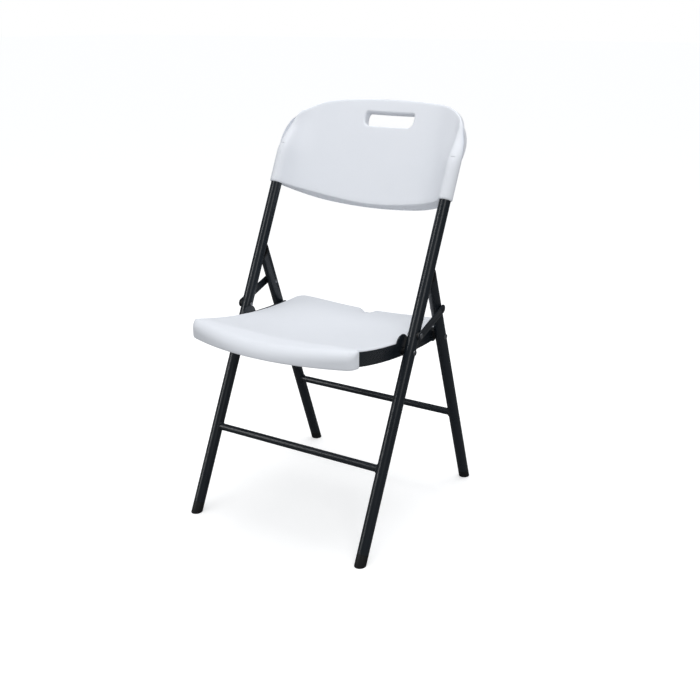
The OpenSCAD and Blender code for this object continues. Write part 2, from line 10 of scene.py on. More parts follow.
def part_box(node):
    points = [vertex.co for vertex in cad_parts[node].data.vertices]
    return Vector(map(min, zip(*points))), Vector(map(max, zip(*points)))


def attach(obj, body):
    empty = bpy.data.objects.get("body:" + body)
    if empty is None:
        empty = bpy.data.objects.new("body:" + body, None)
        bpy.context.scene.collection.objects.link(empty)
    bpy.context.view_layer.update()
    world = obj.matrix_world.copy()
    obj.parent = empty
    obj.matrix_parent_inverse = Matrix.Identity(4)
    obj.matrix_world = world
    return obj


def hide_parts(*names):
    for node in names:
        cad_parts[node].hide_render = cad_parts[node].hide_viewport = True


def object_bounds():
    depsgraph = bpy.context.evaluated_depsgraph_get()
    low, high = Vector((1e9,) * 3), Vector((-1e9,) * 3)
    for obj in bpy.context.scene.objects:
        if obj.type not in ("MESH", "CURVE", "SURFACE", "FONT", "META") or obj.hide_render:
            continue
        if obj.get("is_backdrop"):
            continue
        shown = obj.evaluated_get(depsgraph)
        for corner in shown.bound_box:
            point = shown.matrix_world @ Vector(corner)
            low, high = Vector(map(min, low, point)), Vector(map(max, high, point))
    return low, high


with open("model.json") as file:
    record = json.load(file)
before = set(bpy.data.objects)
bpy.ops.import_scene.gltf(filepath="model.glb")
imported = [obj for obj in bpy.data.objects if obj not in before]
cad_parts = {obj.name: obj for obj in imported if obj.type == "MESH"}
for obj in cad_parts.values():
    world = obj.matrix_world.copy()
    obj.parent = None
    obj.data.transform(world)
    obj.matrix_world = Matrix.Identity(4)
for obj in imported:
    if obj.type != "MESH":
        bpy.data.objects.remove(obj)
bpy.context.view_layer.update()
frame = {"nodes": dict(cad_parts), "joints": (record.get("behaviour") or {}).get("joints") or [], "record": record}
nodes = frame["nodes"]
joints = {j["name"]: j for j in frame["joints"]}
mounts = {m["name"]: m for m in frame["record"]["mounts"]}
print("frame loaded:", len(nodes), "nodes")

# the side view's zero is the front tube's axis on the floor
floorY = mounts["left_front_foot_face"]["pos_m"][1]
track = mounts["right_front_foot_face"]["pos_m"][0]
seatPivot = Vector(joints["seat_fold"]["pos_m"])
railPivot = Vector(joints["rear_leg_fold"]["pos_m"])
linkPivot = Vector(joints["left_link_swing"]["pos_m"])
lean = math.atan2(seatPivot.y - floorY, seatPivot.z)
studLow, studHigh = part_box("right_link_stud")
linkEnd = (studLow + studHigh) / 2
rearFootY = mounts["left_rear_foot_face"]["pos_m"][1]
rearLean = math.atan2(rearFootY - railPivot.y, railPivot.z)


def fromTubePlane(x, off, s):
    # across, back from the tube axes, up along the tubes
    return np.stack([x, floorY + s * math.sin(lean) + off * math.cos(lean),
                     s * math.cos(lean) - off * math.sin(lean)], -1)


class MeshParts:
    # gathers grids of points as quads, to be merged into one skin
    def __init__(self):
        self.points, self.faces, self.count = [], [], 0

    def grid(self, g):
        rows, cols = g.shape[:2]
        a = self.count + np.arange(rows * cols).reshape(rows, cols)
        self.points.append(g.reshape(-1, 3))
        self.count += rows * cols
        quads = np.stack([a[:-1, :-1], a[:-1, 1:], a[1:, 1:], a[1:, :-1]], -1)
        self.faces += quads.reshape(-1, 4).tolist()

    def build(self, name, merge=2e-5):
        mesh = bpy.data.meshes.new(name)
        mesh.from_pydata(np.concatenate(self.points).tolist(), [], self.faces)
        piece = bpy.data.objects.new(name, mesh)
        bpy.context.scene.collection.objects.link(piece)
        bm = bmesh.new()
        bm.from_mesh(mesh)
        bmesh.ops.remove_doubles(bm, verts=bm.verts, dist=merge)
        bmesh.ops.dissolve_degenerate(bm, dist=merge, edges=bm.edges)
        bmesh.ops.recalc_face_normals(bm, faces=bm.faces)
        openEdges = sum(len(e.link_faces) != 2 for e in bm.edges)
        bm.to_mesh(mesh)
        bm.free()
        print(name, len(mesh.polygons), "faces,", openEdges, "open edges")
        return piece


def coons(low, high, left, right, lowFade=None, highFade=None):
    # fills four boundary curves: low and high run across, left and right run up;
    # the fades say how much of the low and high curve's shape each row keeps
    u = np.linspace(0, 1, len(low))[None, :, None]
    v = np.linspace(0, 1, len(left))
    lowFade = (1 - v if lowFade is None else lowFade)[:, None, None]
    highFade = (v if highFade is None else highFade)[:, None, None]
    sides = (1 - u) * left[:, None] + u * right[:, None]
    lowBend = low[None] - (1 - u) * low[0] - u * low[-1]
    highBend = high[None] - (1 - u) * high[0] - u * high[-1]
    return sides + lowFade * lowBend + highFade * highBend


def spread(points, count):
    # the same line with its points at equal steps; its first two columns are its place
    step = np.linalg.norm(np.diff(points[:, :2], axis=0), axis=1)
    way = np.concatenate([[0], np.cumsum(step)])
    at = np.linspace(0, way[-1], count)
    return np.stack([np.interp(at, way, points[:, k]) for k in range(points.shape[1])], -1)


def arcPoints(centre, radius, start, end, count):
    a = np.radians(np.linspace(start, end, count))
    return np.stack([centre[0] + radius * np.cos(a), centre[1] + radius * np.sin(a)], -1)


def smooth(t):
    t = np.clip(t, 0, 1)
    return t * t * (3 - 2 * t)


def shade(piece, angle=35):
    # smooth faces, with edges sharper than the angle kept crisp
    bm = bmesh.new()
    bm.from_mesh(piece.data)
    for f in bm.faces:
        f.smooth = True
    for e in bm.edges:
        e.smooth = len(e.link_faces) == 2 and e.calc_face_angle(0) < math.radians(angle)
    bm.to_mesh(piece.data)
    bm.free()


def applyModifiers(piece):
    graph = bpy.context.evaluated_depsgraph_get()
    mesh = bpy.data.meshes.new_from_object(piece.evaluated_get(graph))
    piece.modifiers.clear()
    piece.data = mesh
    mesh.name = piece.name


def cut(piece, cutters):
    for cutter in cutters:
        m = piece.modifiers.new("cut", "BOOLEAN")
        m.operation, m.solver, m.object = "DIFFERENCE", "EXACT", cutter
    applyModifiers(piece)
    for cutter in cutters:
        bpy.data.objects.remove(cutter)


def rod(name, start, end, radius, sides=64):
    # a closed cylinder between two points, its place in its mesh
    start, end = Vector(start), Vector(end)
    bm = bmesh.new()
    bmesh.ops.create_cone(bm, cap_ends=True, segments=sides, radius1=radius, radius2=radius,
                          depth=(end - start).length)
    turn = (end - start).to_track_quat("Z", "Y").to_matrix().to_4x4()
    bmesh.ops.transform(bm, matrix=Matrix.Translation((start + end) / 2) @ turn, verts=bm.verts)
    mesh = bpy.data.meshes.new(name)
    bm.to_mesh(mesh)
    bm.free()
    piece = bpy.data.objects.new(name, mesh)
    bpy.context.scene.collection.objects.link(piece)
    return piece


def block(name, low, high, bevel=0.0):
    low, high = Vector(low), Vector(high)
    bm = bmesh.new()
    bmesh.ops.create_cube(bm, size=1)
    size = Matrix.Diagonal((*(high - low), 1))
    bmesh.ops.transform(bm, matrix=Matrix.Translation((low + high) / 2) @ size, verts=bm.verts)
    if bevel:
        bmesh.ops.bevel(bm, geom=bm.edges, offset=bevel, segments=4, affect="EDGES", profile=0.5)
    mesh = bpy.data.meshes.new(name)
    bm.to_mesh(mesh)
    bm.free()
    piece = bpy.data.objects.new(name, mesh)
    bpy.context.scene.collection.objects.link(piece)
    return piece


# backrest
backrest = {
    "dish": 0.066,            # the middle's set-back from the tube axes
    "midRadius": 0.900,
    "midHalf": 0.110,
    "sideRadius": 0.124,
    "thickness": 0.025,
    "rimRadius": 0.016,
    "bottom": 0.782,          # along the tubes
    "dip": (0.0110, 0.0138),  # drop of the lower edge at the middle, in front and behind
    "dipHalf": (0.175, 0.219),
    "top": 1.0219,
    "cornerRadius": 0.135,
    "topEdge": 0.0065,        # rounding of the top edge
    "cornerBack": 0.024,      # how far the front of the top corners lies behind the rims
    "cornerFrom": (0.158, 0.852),
    "cornerOver": (0.072, 0.095),
    "lipEdge": 0.0035,        # rounding of the bottom edge
    "slotHalf": (0.0635, 0.0165),
    "slotDrop": 0.0335,       # top of the slot below the top edge
    "slotCorners": (0.006, 0.0145),
    "slotEdge": 0.0045,
    "rearSoft": 0.006,        # blend between the rear of the shell and of the rims
    "socketGap": 0.0003,
    "socketFrom": 0.700,
    "socketTop": 0.872,       # where the tubes end
    "socketPast": 0.003,
    "tubeRadius": 0.0125,
    "screwPlaces": (0.810, 0.855),
    "screwSeat": 0.0155,
    "counterbore": 0.0048,
    "counterboreBack": 0.050,
}


def sideCentre():
    # centre of the tight curve that wraps each side
    b = backrest
    turn = math.asin(b["midHalf"] / b["midRadius"])
    cx = b["midHalf"] - b["sideRadius"] * math.sin(turn)
    cy = b["dish"] - b["midRadius"] + (b["midRadius"] - b["sideRadius"]) * math.cos(turn)
    return cx, cy


def backFront(x, s):
    b = backrest
    a = np.abs(x)
    cx, cy = sideCentre()
    middle = b["dish"] - b["midRadius"] + np.sqrt(b["midRadius"] ** 2 - a ** 2)
    side = cy + np.sqrt(np.maximum(b["sideRadius"] ** 2 - (a - cx) ** 2, 0))
    rim = -np.sqrt(np.maximum(b["rimRadius"] ** 2 - np.minimum(a - track, 0) ** 2, 0))
    crease = track - 0.75 * b["rimRadius"]
    shell = np.where(a < b["midHalf"], middle, np.where(a < crease, side, rim))
    # the wrap round the sides dies out in the top corners
    across = smooth((a - b["cornerFrom"][0]) / b["cornerOver"][0])
    up = smooth((s - b["cornerFrom"][1]) / b["cornerOver"][1])
    return shell + b["cornerBack"] * across * up


def backRear(x, s):
    b = backrest
    a = np.abs(x)
    cx, cy = sideCentre()
    midR, sideR = b["midRadius"] + b["thickness"], b["sideRadius"] + b["thickness"]
    middle = b["dish"] - b["midRadius"] + np.sqrt(midR ** 2 - a ** 2)
    side = cy + np.sqrt(np.maximum(sideR ** 2 - (a - cx) ** 2, 0))
    shell = np.where(a < b["midHalf"] * midR / b["midRadius"], middle, side)
    rim, soft = b["rimRadius"], b["rearSoft"]
    return (shell + rim + np.sqrt((shell - rim) ** 2 + soft ** 2)) / 2 - soft / 4


def backBottom(x, front):
    b = backrest
    k = 0 if front else 1
    t = np.clip(np.abs(x) / b["dipHalf"][k], 0, 1)
    return b["bottom"] - b["dip"][k] * ((1 - t ** 2) ** 2 if front else 1 - t ** 2)


def backEdge():
    # left side, top and right side of the outline as (x, s), with inward directions
    b = backrest
    half = track + b["rimRadius"]
    r = b["cornerRadius"]
    cx = half - r
    topY = b["top"] - b["midRadius"]
    cy = topY + math.sqrt((b["midRadius"] - r) ** 2 - cx ** 2)
    turn = math.degrees(math.asin(cx / (b["midRadius"] - r)))
    low = b["bottom"] + b["lipEdge"]
    middle = (90 - turn) / 2
    side = [np.stack([np.full(14, half), np.linspace(low, cy, 14)], -1),
            arcPoints((cx, cy), r, 0, middle, 12)[1:]]
    top = [arcPoints((cx, cy), r, middle, 90 - turn, 12),
           arcPoints((0, topY), b["midRadius"], 90 - turn, 90 + turn, 60)[1:-1],
           arcPoints((-cx, cy), r, 90 + turn, 180 - middle, 12)]
    right, top = np.concatenate(side), np.concatenate(top)
    flip = np.array([-1, 1])

    def inward(p):
        x, s = p[:, 0], p[:, 1]
        toCorner = np.stack([np.sign(x) * cx - x, cy - s], -1)
        toTop = np.stack([-x, topY - s], -1)
        toSide = np.stack([-np.sign(x), 0 * s], -1)
        isSide = (s <= cy)[:, None]
        isTop = (np.abs(x) < cx * (b["midRadius"] / (b["midRadius"] - r)))[:, None]
        d = np.where(isSide, toSide, np.where(isTop, toTop, toCorner))
        return d / np.linalg.norm(d, axis=1, keepdims=True)

    def edge(p):
        # a full half round beside the tubes, smaller along the top
        lift = smooth((p[:, 1] - cy) / (0.8 * r))
        return b["rimRadius"] + (b["topEdge"] - b["rimRadius"]) * lift

    left = right * flip
    top = top[::-1]
    return [(p, inward(p), edge(p)) for p in (left, top, right)]


def slotPoint(xi, eta, out):
    # a rounded slot, larger by out, at a place given from -1 to 1 each way
    b = backrest
    a, h = b["slotHalf"][0] + out, b["slotHalf"][1] + out
    centre = b["top"] - b["slotDrop"] - b["slotHalf"][1]
    r = np.where(eta > 0, b["slotCorners"][0], b["slotCorners"][1]) + out
    x, y = xi * a, eta * h
    cx, cy = np.sign(xi) * (a - r), np.sign(eta) * (h - r)
    inCorner = (np.abs(x) > a - r) & (np.abs(y) > h - r)
    d = np.stack([x - cx, y - cy], -1)
    d = d / np.maximum(np.linalg.norm(d, axis=-1, keepdims=True), 1e-9)
    rounded = np.stack([cx, cy], -1) + r[..., None] * d
    p = np.where(inCorner[..., None], rounded, np.stack([x, y], -1))
    return p + np.array([0, centre])


def makeBackrest():
    b = backrest
    parts = MeshParts()
    edges = backEdge()
    steps = np.radians(np.linspace(0, 90, 9))

    def band(part, front):
        p, inwards, r = part
        rings = []
        for a in steps:
            q = p + inwards * (r * (1 - math.cos(a)))[:, None]
            drop = r * (1 - math.sin(a))
            off = backFront(q[:, 0], q[:, 1]) + drop if front else backRear(q[:, 0], q[:, 1]) - drop
            rings.append(np.stack([q[:, 0], off, q[:, 1]], -1))
        return np.stack(rings)

    loops = {}
    for front in (True, False):
        surface = backFront if front else backRear
        bands = [band(e, front) for e in edges]
        for g in bands:
            parts.grid(fromTubePlane(g[..., 0], g[..., 1], g[..., 2]))
        left, top, right = [g[-1][:, [0, 2]] for g in bands]
        x = np.linspace(left[0, 0], right[0, 0], 400)
        across = spread(np.stack([x, surface(x, b["bottom"])], -1), len(top))[:, 0]
        across = (across - across[::-1]) / 2
        low = np.stack([across, backBottom(across, front) + b["lipEdge"]], -1)
        fill = coons(low, top, left, right)
        rows, cols = fill.shape[:2]
        # the slot's block of cells is replaced by rings round the slot
        reach = (b["slotHalf"][0] + 0.016, b["slotHalf"][1] + 0.010)
        centre = b["top"] - b["slotDrop"] - b["slotHalf"][1]
        midRow = rows * 3 // 4
        i0 = int(np.argmin(np.abs(fill[midRow, :, 0] + reach[0])))
        i1 = cols - 1 - i0
        j0 = int(np.argmin(np.abs(fill[:, cols // 2, 1] - centre + reach[1])))
        j1 = int(np.argmin(np.abs(fill[:, cols // 2, 1] - centre - reach[1])))
        for rowsPart, colsPart in ((slice(0, j0 + 1), slice(0, cols)), (slice(j1, rows), slice(0, cols)),
                                   (slice(j0, j1 + 1), slice(0, i0 + 1)),
                                   (slice(j0, j1 + 1), slice(i1, cols))):
            g = fill[rowsPart, colsPart]
            parts.grid(fromTubePlane(g[..., 0], surface(g[..., 0], g[..., 1]), g[..., 1]))
        # once round the block, as places from -1 to 1
        across = np.linspace(-1, 1, i1 - i0 + 1)
        up = np.linspace(-1, 1, j1 - j0 + 1)
        xi = np.concatenate([across, np.ones(len(up) - 2), across[::-1], -np.ones(len(up) - 1)])
        eta = np.concatenate([-np.ones(len(across)), up[1:-1], np.ones(len(across)), up[::-1][1:]])
        border = np.concatenate([fill[j0, i0:i1 + 1], fill[j0 + 1:j1, i1], fill[j1, i0:i1 + 1][::-1],
                                 fill[j0:j1, i0][::-1]])
        rings = []
        for a in steps:
            q = slotPoint(xi, eta, b["slotEdge"] * (1 - math.cos(a)))
            drop = b["slotEdge"] * (1 - math.sin(a))
            off = surface(q[:, 0], q[:, 1]) + (drop if front else -drop)
            rings.append(np.stack([q[:, 0], off, q[:, 1]], -1))
        inner = rings[-1][:, [0, 2]]
        for t in np.linspace(0, 1, 6)[1:]:
            q = inner + (border - inner) * t
            rings.append(np.stack([q[:, 0], surface(q[:, 0], q[:, 1]), q[:, 1]], -1))
        g = np.stack(rings)
        parts.grid(fromTubePlane(g[..., 0], g[..., 1], g[..., 2]))
        loops[front] = (bands, rings[0], np.stack([low[:, 0], surface(low[:, 0], low[:, 1])], -1))
    # straight walls between the front's and back's roundings
    for k in range(3):
        a, c = loops[True][0][k][0], loops[False][0][k][0]
        g = np.stack([a + (c - a) * t for t in np.linspace(0, 1, 5)])
        parts.grid(fromTubePlane(g[..., 0], g[..., 1], g[..., 2]))
    a, c = loops[True][1], loops[False][1]
    g = np.stack([a + (c - a) * t for t in np.linspace(0, 1, 5)])
    parts.grid(fromTubePlane(g[..., 0], g[..., 1], g[..., 2]))

    # the bottom: a small rounding all round the section, then a flat face
    def section(front):
        bands, _, middle = loops[front]
        left = bands[0][:, 0, :2]
        right = bands[2][::-1, 0, :2]
        return np.concatenate([left, middle[1:-1], right])

    frontLine, rearLine = section(True), section(False)
    around = np.concatenate([frontLine, rearLine[::-1][1:-1]])
    lowest = np.concatenate([backBottom(frontLine[:, 0], True),
                             backBottom(rearLine[::-1][1:-1, 0], False)])
    ahead, behind = np.roll(around, -1, 0), np.roll(around, 1, 0)
    along = ahead - behind
    inward = np.stack([-along[:, 1], along[:, 0]], -1)
    inward /= np.maximum(np.linalg.norm(inward, axis=1, keepdims=True), 1e-9)
    rows = []
    for a in np.radians(np.linspace(0, 90, 6)):
        q = around + inward * b["lipEdge"] * (1 - math.cos(a))
        s = lowest + b["lipEdge"] * (1 - math.sin(a))
        rows.append(np.stack([q[:, 0], q[:, 1], s], -1))
    g = np.stack(rows)
    g = np.concatenate([g, g[:, :1]], 1)
    parts.grid(fromTubePlane(g[..., 0], g[..., 1], g[..., 2]))
    last = rows[-1]
    n = len(frontLine)
    near = last[:n]
    far = np.concatenate([last[n - 1:], last[:1]])[::-1]
    g = np.stack([near + (far - near) * t for t in np.linspace(0, 1, 7)])
    parts.grid(fromTubePlane(g[..., 0], g[..., 1], g[..., 2]))
    piece = parts.build("backrest_shell")
    sockets = []
    for side in (-1, 1):
        x = np.full(2, side * track)
        along = np.array([b["socketFrom"], b["socketTop"] + b["socketPast"]])
        ends = fromTubePlane(x, np.zeros(2), along)
        sockets.append(rod("socket", ends[0], ends[1], b["tubeRadius"] + b["socketGap"]))
        for s in b["screwPlaces"]:
            ends = fromTubePlane(x, np.array([b["screwSeat"], b["counterboreBack"]]), np.full(2, s))
            sockets.append(rod("counterbore", ends[0], ends[1], b["counterbore"], 32))
    cut(piece, sockets)
    shade(piece)
    return piece


backrestShell = makeBackrest()


# seat
seat = {
    "lipHalf": 0.2045,
    "panHalf": 0.199,
    "front": 0.045,           # ahead of the front tube's axis at the floor
    "lipArc": 0.512,          # the front's curve in plan
    "lipCorner": 0.024,
    "lipBack": 0.018,
    "rear": 0.397,
    "rearCorner": 0.025,
    "curveRadius": 1.250,     # from front to rear
    "lowZ": 0.424,
    "lowY": 0.325,
    "crestZ": 0.4615,
    "lipZ": 0.424,
    "thickness": 0.022,
    "dish": 0.007,
    "dishHalf": 0.190,
    "frontRoll": (0.028, 0.021),   # at the middle and at the corners
    "sideRoll": 0.0075,
    "jogRoll": 0.003,
    "underRoll": 0.0045,
    "notchDepth": 0.011,
    "notchHalf": 0.025,
    "notchLength": 0.040,
    "grooveHalf": 0.25,
    "grooveGap": 0.0003,
    "pocketSide": (0.191, 0.215),
    "pocketHalf": 0.010,
    "pocketHeight": (0.040, 0.008),   # below and above the pivot
    "columns": 141,
}


def seatArc(y):
    s = seat
    return s["lowZ"] + s["curveRadius"] - np.sqrt(s["curveRadius"] ** 2 - (y - s["lowY"]) ** 2)


def seatTop(x, y):
    s = seat
    soft = 0.002
    arc, crest = seatArc(y), s["crestZ"]
    level = (arc + crest - np.sqrt((arc - crest) ** 2 + soft ** 2)) / 2
    hollow = s["dish"] * np.maximum(1 - (x / s["dishHalf"]) ** 2, 0) ** 2
    # a V in the rear edge that fades out forwards
    side = np.sqrt(x ** 2 + 0.002 ** 2) / s["notchHalf"]
    fade = smooth((y - s["rear"] + s["notchLength"]) / s["notchLength"]) ** 1.5
    return level - hollow - s["notchDepth"] * smooth(1.15 * np.maximum(1 - side, 0)) * fade


def seatUnder(x, y):
    s = seat
    step = smooth((y - s["lipBack"] - 0.0002) / 0.0012)
    return s["lipZ"] + (seatArc(y) - s["thickness"] - s["lipZ"]) * step


def seatEdge():
    # front, right and rear of the plan as rows of x, y, inward x, inward y, top rounding
    s = seat
    half, r = s["lipHalf"], s["lipCorner"]
    centreY = s["lipArc"] - s["front"]
    cornerX = half - r
    cornerY = centreY - math.sqrt((s["lipArc"] - r) ** 2 - cornerX ** 2)
    turn = math.degrees(math.asin(cornerX / (s["lipArc"] - r)))
    midAngle = (270 + turn + 360) / 2
    rollMid, rollEnd = s["frontRoll"]

    def around(points, centre, rolls):
        d = np.array(centre) - points
        return np.concatenate([points, d / np.linalg.norm(d, axis=1, keepdims=True), rolls[:, None]], 1)

    def cornerRoll(a):
        return rollEnd + (s["sideRoll"] - rollEnd) * smooth((a - 270 - turn) / (90 - turn))

    arc = arcPoints((0, centreY), s["lipArc"], 270, 270 + turn, 80)
    arcRoll = rollMid + (rollEnd - rollMid) * (arc[:, 0] / cornerX) ** 2
    angles = np.linspace(270 + turn, midAngle, 12)
    first = arcPoints((cornerX, cornerY), r, 270 + turn, midAngle, 12)
    frontHalf = np.concatenate([around(arc, (0, centreY), arcRoll),
                                around(first, (cornerX, cornerY), cornerRoll(angles))[1:]])
    flip = np.array([-1, 1, -1, 1, 1])
    front = spread(np.concatenate([(frontHalf * flip)[:0:-1], frontHalf]), s["columns"])

    angles = np.linspace(midAngle, 360, 10)
    second = arcPoints((cornerX, cornerY), r, midAngle, 360, 10)
    second = around(second, (cornerX, cornerY), cornerRoll(angles))
    jog, e = s["lipBack"], 0.0012
    straight = [[half, y] for y in np.linspace(cornerY, jog - e, 5)[1:]]
    straight += arcPoints((half - e, jog - e), e, 0, 90, 6)[1:].tolist()
    straight += [[x, jog] for x in np.linspace(half - e, s["panHalf"], 4)[1:]]
    # close rows where the underside steps up behind the lip
    low = jog + np.array([0.0003, 0.0006, 0.0009, 0.0012, 0.0016, 0.0024, 0.0035, 0.005, 0.007])
    straight += [[s["panHalf"], y] for y in low]
    rearY = s["rear"] - s["rearCorner"]
    straight += [[s["panHalf"], y] for y in np.linspace(low[-1], rearY, 90)[1:]]
    straight = np.array(straight)

    def jogRolls(away):
        return s["jogRoll"] + (s["sideRoll"] - s["jogRoll"]) * smooth((away - 0.002) / 0.012)

    away = np.abs(straight[:, 1] - jog)
    down = np.where(away < 1e-6, 1, np.maximum(1 - away / 0.005, 0))
    roll = jogRolls(away)
    straight = np.stack([straight[:, 0], straight[:, 1], -np.ones(len(down)), -down, roll], 1)
    away = np.abs(second[:, 1] - jog)
    second[:, 3] -= np.maximum(1 - away / 0.005, 0)
    second[:, 4] = np.minimum(second[:, 4], jogRolls(away) + np.maximum(second[:, 4] - s["sideRoll"], 0))
    rearX = s["panHalf"] - s["rearCorner"]
    corner = arcPoints((rearX, rearY), s["rearCorner"], 0, 45, 8)[1:]
    corner = around(corner, (rearX, rearY), np.full(len(corner), s["sideRoll"]))
    right = np.concatenate([second, straight, corner])
    jogRow = int(np.argmin(np.abs(right[:, 1] - jog - 0.0003)))

    corner = arcPoints((rearX, rearY), s["rearCorner"], 45, 90, 8)
    corner = around(corner, (rearX, rearY), np.full(len(corner), s["sideRoll"]))
    flat = np.array([[x, s["rear"], 0, -1, s["sideRoll"]] for x in np.linspace(rearX, 0, 60)[1:]])
    rearHalf = np.concatenate([corner, flat])
    rear = spread(np.concatenate([(rearHalf * flip)[:-1], rearHalf[::-1]]), s["columns"])
    return front, right, rear, right * flip, jogRow


def makeSeat():
    s = seat
    parts = MeshParts()
    front, right, rear, left, jogRow = seatEdge()
    edges = (front, right, rear, left)

    def place(xy, z):
        return np.stack([xy[..., 0], floorY + xy[..., 1], z], -1)

    loops = {}
    for top in (True, False):
        count = 11 if top else 6
        inner = []
        outer = []
        for edge in edges:
            r = edge[:, 4] if top else np.minimum(s["underRoll"], edge[:, 4])
            rings = []
            for a in np.radians(np.linspace(0, 90, count)):
                xy = edge[:, :2] + edge[:, 2:4] * (r * (1 - math.cos(a)))[:, None]
                drop = r * (1 - math.sin(a))
                z = seatTop(xy[:, 0], xy[:, 1]) - drop if top else seatUnder(xy[:, 0], xy[:, 1]) + drop
                rings.append(place(xy, z))
            parts.grid(np.stack(rings))
            outer.append(rings[0])
            inner.append(xy)
        # rows bow with the front edge only as far back as the lip
        n = len(right)
        lowFade = np.clip(1 - np.arange(n) / jogRow, 0, 1)
        highFade = np.clip((np.arange(n) - n + 16) / 15, 0, 1)
        fill = coons(inner[0], inner[2], inner[3], inner[1], lowFade, highFade)
        surface = seatTop if top else seatUnder
        parts.grid(place(fill, surface(fill[..., 0], fill[..., 1])))
        loops[top] = outer
    for a, c in zip(loops[True], loops[False]):
        parts.grid(np.stack([a + (c - a) * t for t in np.linspace(0, 1, 5)]))
    piece = parts.build("seat_shell", 1e-5)

    # grooves for the cross tubes and pockets over the pivots' inner heads
    cutters = []
    for name in ("front_cross_tube", "rear_cross_tube"):
        lo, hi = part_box(name)
        mid = (lo + hi) / 2
        cutters.append(rod("groove", (-s["grooveHalf"], mid.y, mid.z), (s["grooveHalf"], mid.y, mid.z),
                           (hi.z - lo.z) / 2 + s["grooveGap"]))
    below, above = s["pocketHeight"]
    for pivot in (seatPivot, railPivot):
        for side in (-1, 1):
            near, far = sorted(side * x for x in s["pocketSide"])
            cutters.append(block("pocket", (near, pivot.y - s["pocketHalf"], pivot.z - below),
                                 (far, pivot.y + s["pocketHalf"], pivot.z + above)))
    cut(piece, cutters)
    shade(piece, 32)
    return piece


seatShell = makeSeat()
print("backrest and seat made")


# polished copies of the flat bars and caps, with their edges rounded over
polish = {
    "bars": 0.0006,
    "caps": 0.0012,
    "studs": 0.0004,
    "flatAngle": 2.0,         # faces closer than this in angle are joined
    "sharpAngle": 28.0,
}


def polished(name, pieceName, width, segments=3):
    piece = bpy.data.objects.new(pieceName, nodes[name].data.copy())
    bpy.context.scene.collection.objects.link(piece)
    bm = bmesh.new()
    bm.from_mesh(piece.data)
    bmesh.ops.remove_doubles(bm, verts=bm.verts, dist=1e-6)
    bmesh.ops.dissolve_limit(bm, angle_limit=math.radians(polish["flatAngle"]), verts=bm.verts,
                             edges=bm.edges)
    bmesh.ops.recalc_face_normals(bm, faces=bm.faces)
    bm.to_mesh(piece.data)
    bm.free()
    m = piece.modifiers.new("edges", "BEVEL")
    m.width, m.segments, m.limit_method = width, segments, "ANGLE"
    m.angle_limit = math.radians(polish["sharpAngle"])
    m.harden_normals = False
    applyModifiers(piece)
    shade(piece, polish["sharpAngle"])
    return piece


# Geometry Nodes
class Tree:
    # a short way to write a node tree with named inputs
    def __init__(self, name, sizes):
        self.group = bpy.data.node_groups.new(name, "GeometryNodeTree")
        face = self.group.interface
        face.new_socket("Geometry", in_out="INPUT", socket_type="NodeSocketGeometry")
        for label in sizes:
            face.new_socket(label, in_out="INPUT", socket_type="NodeSocketFloat")
        face.new_socket("Material", in_out="INPUT", socket_type="NodeSocketMaterial")
        face.new_socket("Geometry", in_out="OUTPUT", socket_type="NodeSocketGeometry")
        self.inside = self.group.nodes.new("NodeGroupInput")
        self.outside = self.group.nodes.new("NodeGroupOutput")

    def size(self, label):
        return self.inside.outputs[label]

    def add(self, kind, links=None, out=0, **settings):
        node = self.group.nodes.new(kind)
        for key, value in settings.items():
            setattr(node, key, value)
        for key, value in (links or {}).items():
            socket = node.inputs[key]
            if isinstance(value, list):
                for v in value:
                    self.group.links.new(v, socket)
            elif isinstance(value, bpy.types.NodeSocket):
                self.group.links.new(value, socket)
            else:
                socket.default_value = value
        return node.outputs[out]

    def math(self, operation, a, b=0.0, c=0.0):
        return self.add("ShaderNodeMath", {0: a, 1: b, 2: c}, operation=operation)

    def vector(self, x=0.0, y=0.0, z=0.0):
        return self.add("ShaderNodeCombineXYZ", {0: x, 1: y, 2: z})

    def end(self, shape):
        real = self.add("GeometryNodeRealizeInstances", {0: shape})
        done = self.add("GeometryNodeSetMaterial", {"Geometry": real, "Material": self.size("Material")})
        self.group.links.new(done, self.outside.inputs[0])
        return self.group


def domeShape(tree, radius, height, flange):
    # a closed round head on z = 0: a short straight flange and a low dome above it
    ball = tree.add("GeometryNodeMeshUVSphere", {"Segments": 36, "Rings": 18, "Radius": 1.0})
    place = tree.add("GeometryNodeInputPosition")
    split = tree.group.nodes.new("ShaderNodeSeparateXYZ")
    tree.group.links.new(place, split.inputs[0])
    x, y, z = split.outputs
    above = tree.math("GREATER_THAN", z, -0.01)
    domed = tree.math("MULTIPLY_ADD", z, height, flange)
    lifted = tree.math("MULTIPLY", domed, above)
    spot = tree.vector(tree.math("MULTIPLY", x, radius), tree.math("MULTIPLY", y, radius), lifted)
    return tree.add("GeometryNodeSetPosition", {"Geometry": ball, "Position": spot})


def onPoints(tree, shape):
    # one shape on each point, turned by the point's own angles
    turn = tree.add("GeometryNodeInputNamedAttribute", {"Name": "turn"}, data_type="FLOAT_VECTOR")
    spin = tree.add("FunctionNodeEulerToRotation", {0: turn})
    return tree.add("GeometryNodeInstanceOnPoints",
                    {"Points": tree.inside.outputs["Geometry"], "Instance": shape, "Rotation": spin})


